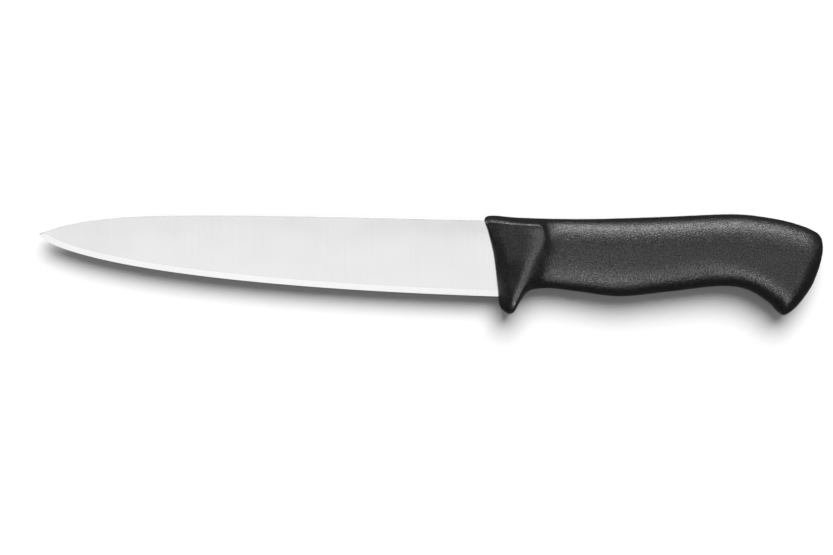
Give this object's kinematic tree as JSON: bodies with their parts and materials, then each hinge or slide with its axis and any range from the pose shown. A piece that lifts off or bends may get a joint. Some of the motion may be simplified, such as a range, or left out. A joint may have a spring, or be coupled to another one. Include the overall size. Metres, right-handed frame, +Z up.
{
  "type": "sticking knife",
  "caption": "Slim pointed knife: ground steel blade with a gently bowed spine, tang locked in a black moulded handle with collar, finger guard and hooked butt.",
  "frame": {"origin": "middle of the footprint, on the plane that the knife lies on", "axes": "the knife lies on its side: +X from the point to the butt, +Y from the cutting edge to the spine, +Z up through the thickness"},
  "size_m": [0.2902, 0.0372, 0.0196],
  "materials": {
    "blade_steel": "fine satin, ground crosswise, with a brighter edge bevel",
    "handle_plastic": "fine moulded grain on the grip, smooth collar"
  },
  "bodies": {
    "root": {"blade": "blade_steel", "handle": "handle_plastic"}
  },
  "joints": []
}
